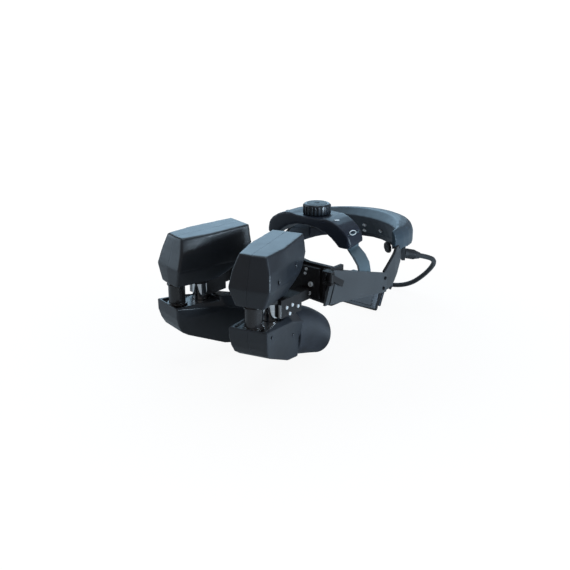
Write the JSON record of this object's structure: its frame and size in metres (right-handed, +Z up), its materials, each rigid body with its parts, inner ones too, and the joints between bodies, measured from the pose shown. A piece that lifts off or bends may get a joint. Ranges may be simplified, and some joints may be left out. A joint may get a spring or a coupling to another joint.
{
  "type": "head-worn binocular magnifier visor",
  "caption": "Head-worn binocular magnifier: closed optical pods with rubber eyecups on a sliding brow frame, with headband, crown knob, rear hood and cable.",
  "frame": {"origin": "centre of the footprint on the surface the visor stands on", "axes": "+Z up, +Y towards the back of the wearer's head, +X towards the wearer's left; the plane X = 0 is the mid-plane of the headband"},
  "size_m": [0.1811, 0.3632, 0.15],
  "materials": {
    "pod_shell": "satin charcoal blue-grey moulding",
    "band_grey": "smooth satin grey moulding",
    "hood_grey": "satin dark grey moulding",
    "crown_soft": "soft-touch navy black moulding",
    "bracket_black": "black anodised",
    "column_dark": "satin graphite paint",
    "barrel_chrome": "bright plated",
    "screw_steel": "bright steel",
    "screw_black": "blackened steel",
    "eyecup_rubber": "matt rubber",
    "cable_rubber": "matt cable jacket",
    "pad_fabric": "black padded fabric over foam",
    "nape_fabric": "grey padded fabric over foam",
    "strap_grey": "flexible satin grey strap",
    "optic_glass": "coated optical glass",
    "mirror_coat": "front-coated mirror",
    "barrel_black": "black anodised",
    "board": "circuit board",
    "weight_steel": "bare steel bar",
    "knob_black": "satin black moulding"
  },
  "bodies": {
    "headband": {"side_band_left": "band_grey", "side_band_right": "band_grey", "rear_band": "band_grey", "band_rivets": "screw_steel", "crown_strap_left": "strap_grey", "crown_strap_right": "strap_grey", "rear_housing": "hood_grey", "rear_floor": "hood_grey", "interface_board": "board", "counterweight": "weight_steel", "rear_panel": "crown_soft", "rear_screws": "screw_steel", "occipital_pad": "pad_fabric", "nape_yoke": "crown_soft", "nape_pad": "nape_fabric", "cable_gland": "cable_rubber", "cable": "cable_rubber", "cable_coil": "cable_rubber", "cable_plug": "cable_rubber"},
    "front_frame": {"brow_frame": "bracket_black", "brow_pad": "pad_fabric", "frame_clip_left": "band_grey", "frame_clip_right": "band_grey"},
    "crown": {"crown_pad": "crown_soft"},
    "knob": {"crown_knob": "knob_black", "knob_spindle": "barrel_black"},
    "carriage_left": {"carriage_left": "bracket_black", "slide_clamp_left": "bracket_black", "carriage_screws_left": "screw_steel", "relay_barrel_left": "barrel_chrome", "relay_lenses_left": "optic_glass"},
    "pod_left": {"upper_shell_outer_left": "pod_shell", "upper_shell_inner_left": "pod_shell", "lower_shell_outer_left": "pod_shell", "lower_shell_inner_left": "pod_shell", "front_column_left": "column_dark", "display_module_left": "board", "fold_mirror_left": "mirror_coat", "eyepiece_barrel_left": "barrel_black", "eyepiece_lens_left": "optic_glass", "eyecup_left": "eyecup_rubber", "pod_screws_left": "screw_black"},
    "lever_left": {"thumb_lever_left": "bracket_black"},
    "carriage_right": {"carriage_right": "bracket_black", "slide_clamp_right": "bracket_black", "carriage_screws_right": "screw_steel", "relay_barrel_right": "barrel_chrome", "relay_lenses_right": "optic_glass"},
    "pod_right": {"upper_shell_outer_right": "pod_shell", "upper_shell_inner_right": "pod_shell", "lower_shell_outer_right": "pod_shell", "lower_shell_inner_right": "pod_shell", "front_column_right": "column_dark", "display_module_right": "board", "fold_mirror_right": "mirror_coat", "eyepiece_barrel_right": "barrel_black", "eyepiece_lens_right": "optic_glass", "eyecup_right": "eyecup_rubber", "pod_screws_right": "screw_black"},
    "lever_right": {"thumb_lever_right": "bracket_black"}
  },
  "joints": [
    {"name": "eye_relief", "type": "slide", "parent": "headband", "child": "front_frame", "axis": [0, -1, 0], "range_m": [0, 0.008]},
    {"name": "ipd_left", "type": "slide", "parent": "front_frame", "child": "carriage_left", "axis": [1, 0, 0], "range_m": [-0.009, 0.0015]},
    {"name": "swivel_left", "type": "hinge", "parent": "carriage_left", "child": "pod_left", "pos_m": [0.04845, -0.12097, 0.078], "axis": [0, 0, 1], "range_deg": [-4, 4]},
    {"name": "lever_left", "type": "hinge", "parent": "front_frame", "child": "lever_left", "pos_m": [0.0854, -0.0711, 0.1], "axis": [0, 0, -1], "range_deg": [0, 60]},
    {"name": "ipd_right", "type": "slide", "parent": "front_frame", "child": "carriage_right", "axis": [-1, 0, 0], "range_m": [-0.009, 0.0015]},
    {"name": "swivel_right", "type": "hinge", "parent": "carriage_right", "child": "pod_right", "pos_m": [-0.04845, -0.12097, 0.078], "axis": [0, 0, 1], "range_deg": [-4, 4]},
    {"name": "lever_right", "type": "hinge", "parent": "front_frame", "child": "lever_right", "pos_m": [-0.0854, -0.0711, 0.1], "axis": [0, 0, 1], "range_deg": [0, 60]},
    {"name": "crown_height", "type": "slide", "parent": "headband", "child": "crown", "axis": [0, 0, 1], "range_m": [0, 0.01]},
    {"name": "crown_knob_turn", "type": "hinge", "parent": "crown", "child": "knob", "pos_m": [0, 0.0169, 0.14], "axis": [0, 0, 1], "range_deg": [0, 360]}
  ],
  "couplings": [
    {"joint": "crown_knob_turn", "follows": "crown_height", "rad_per_m": 628.32}
  ]
}
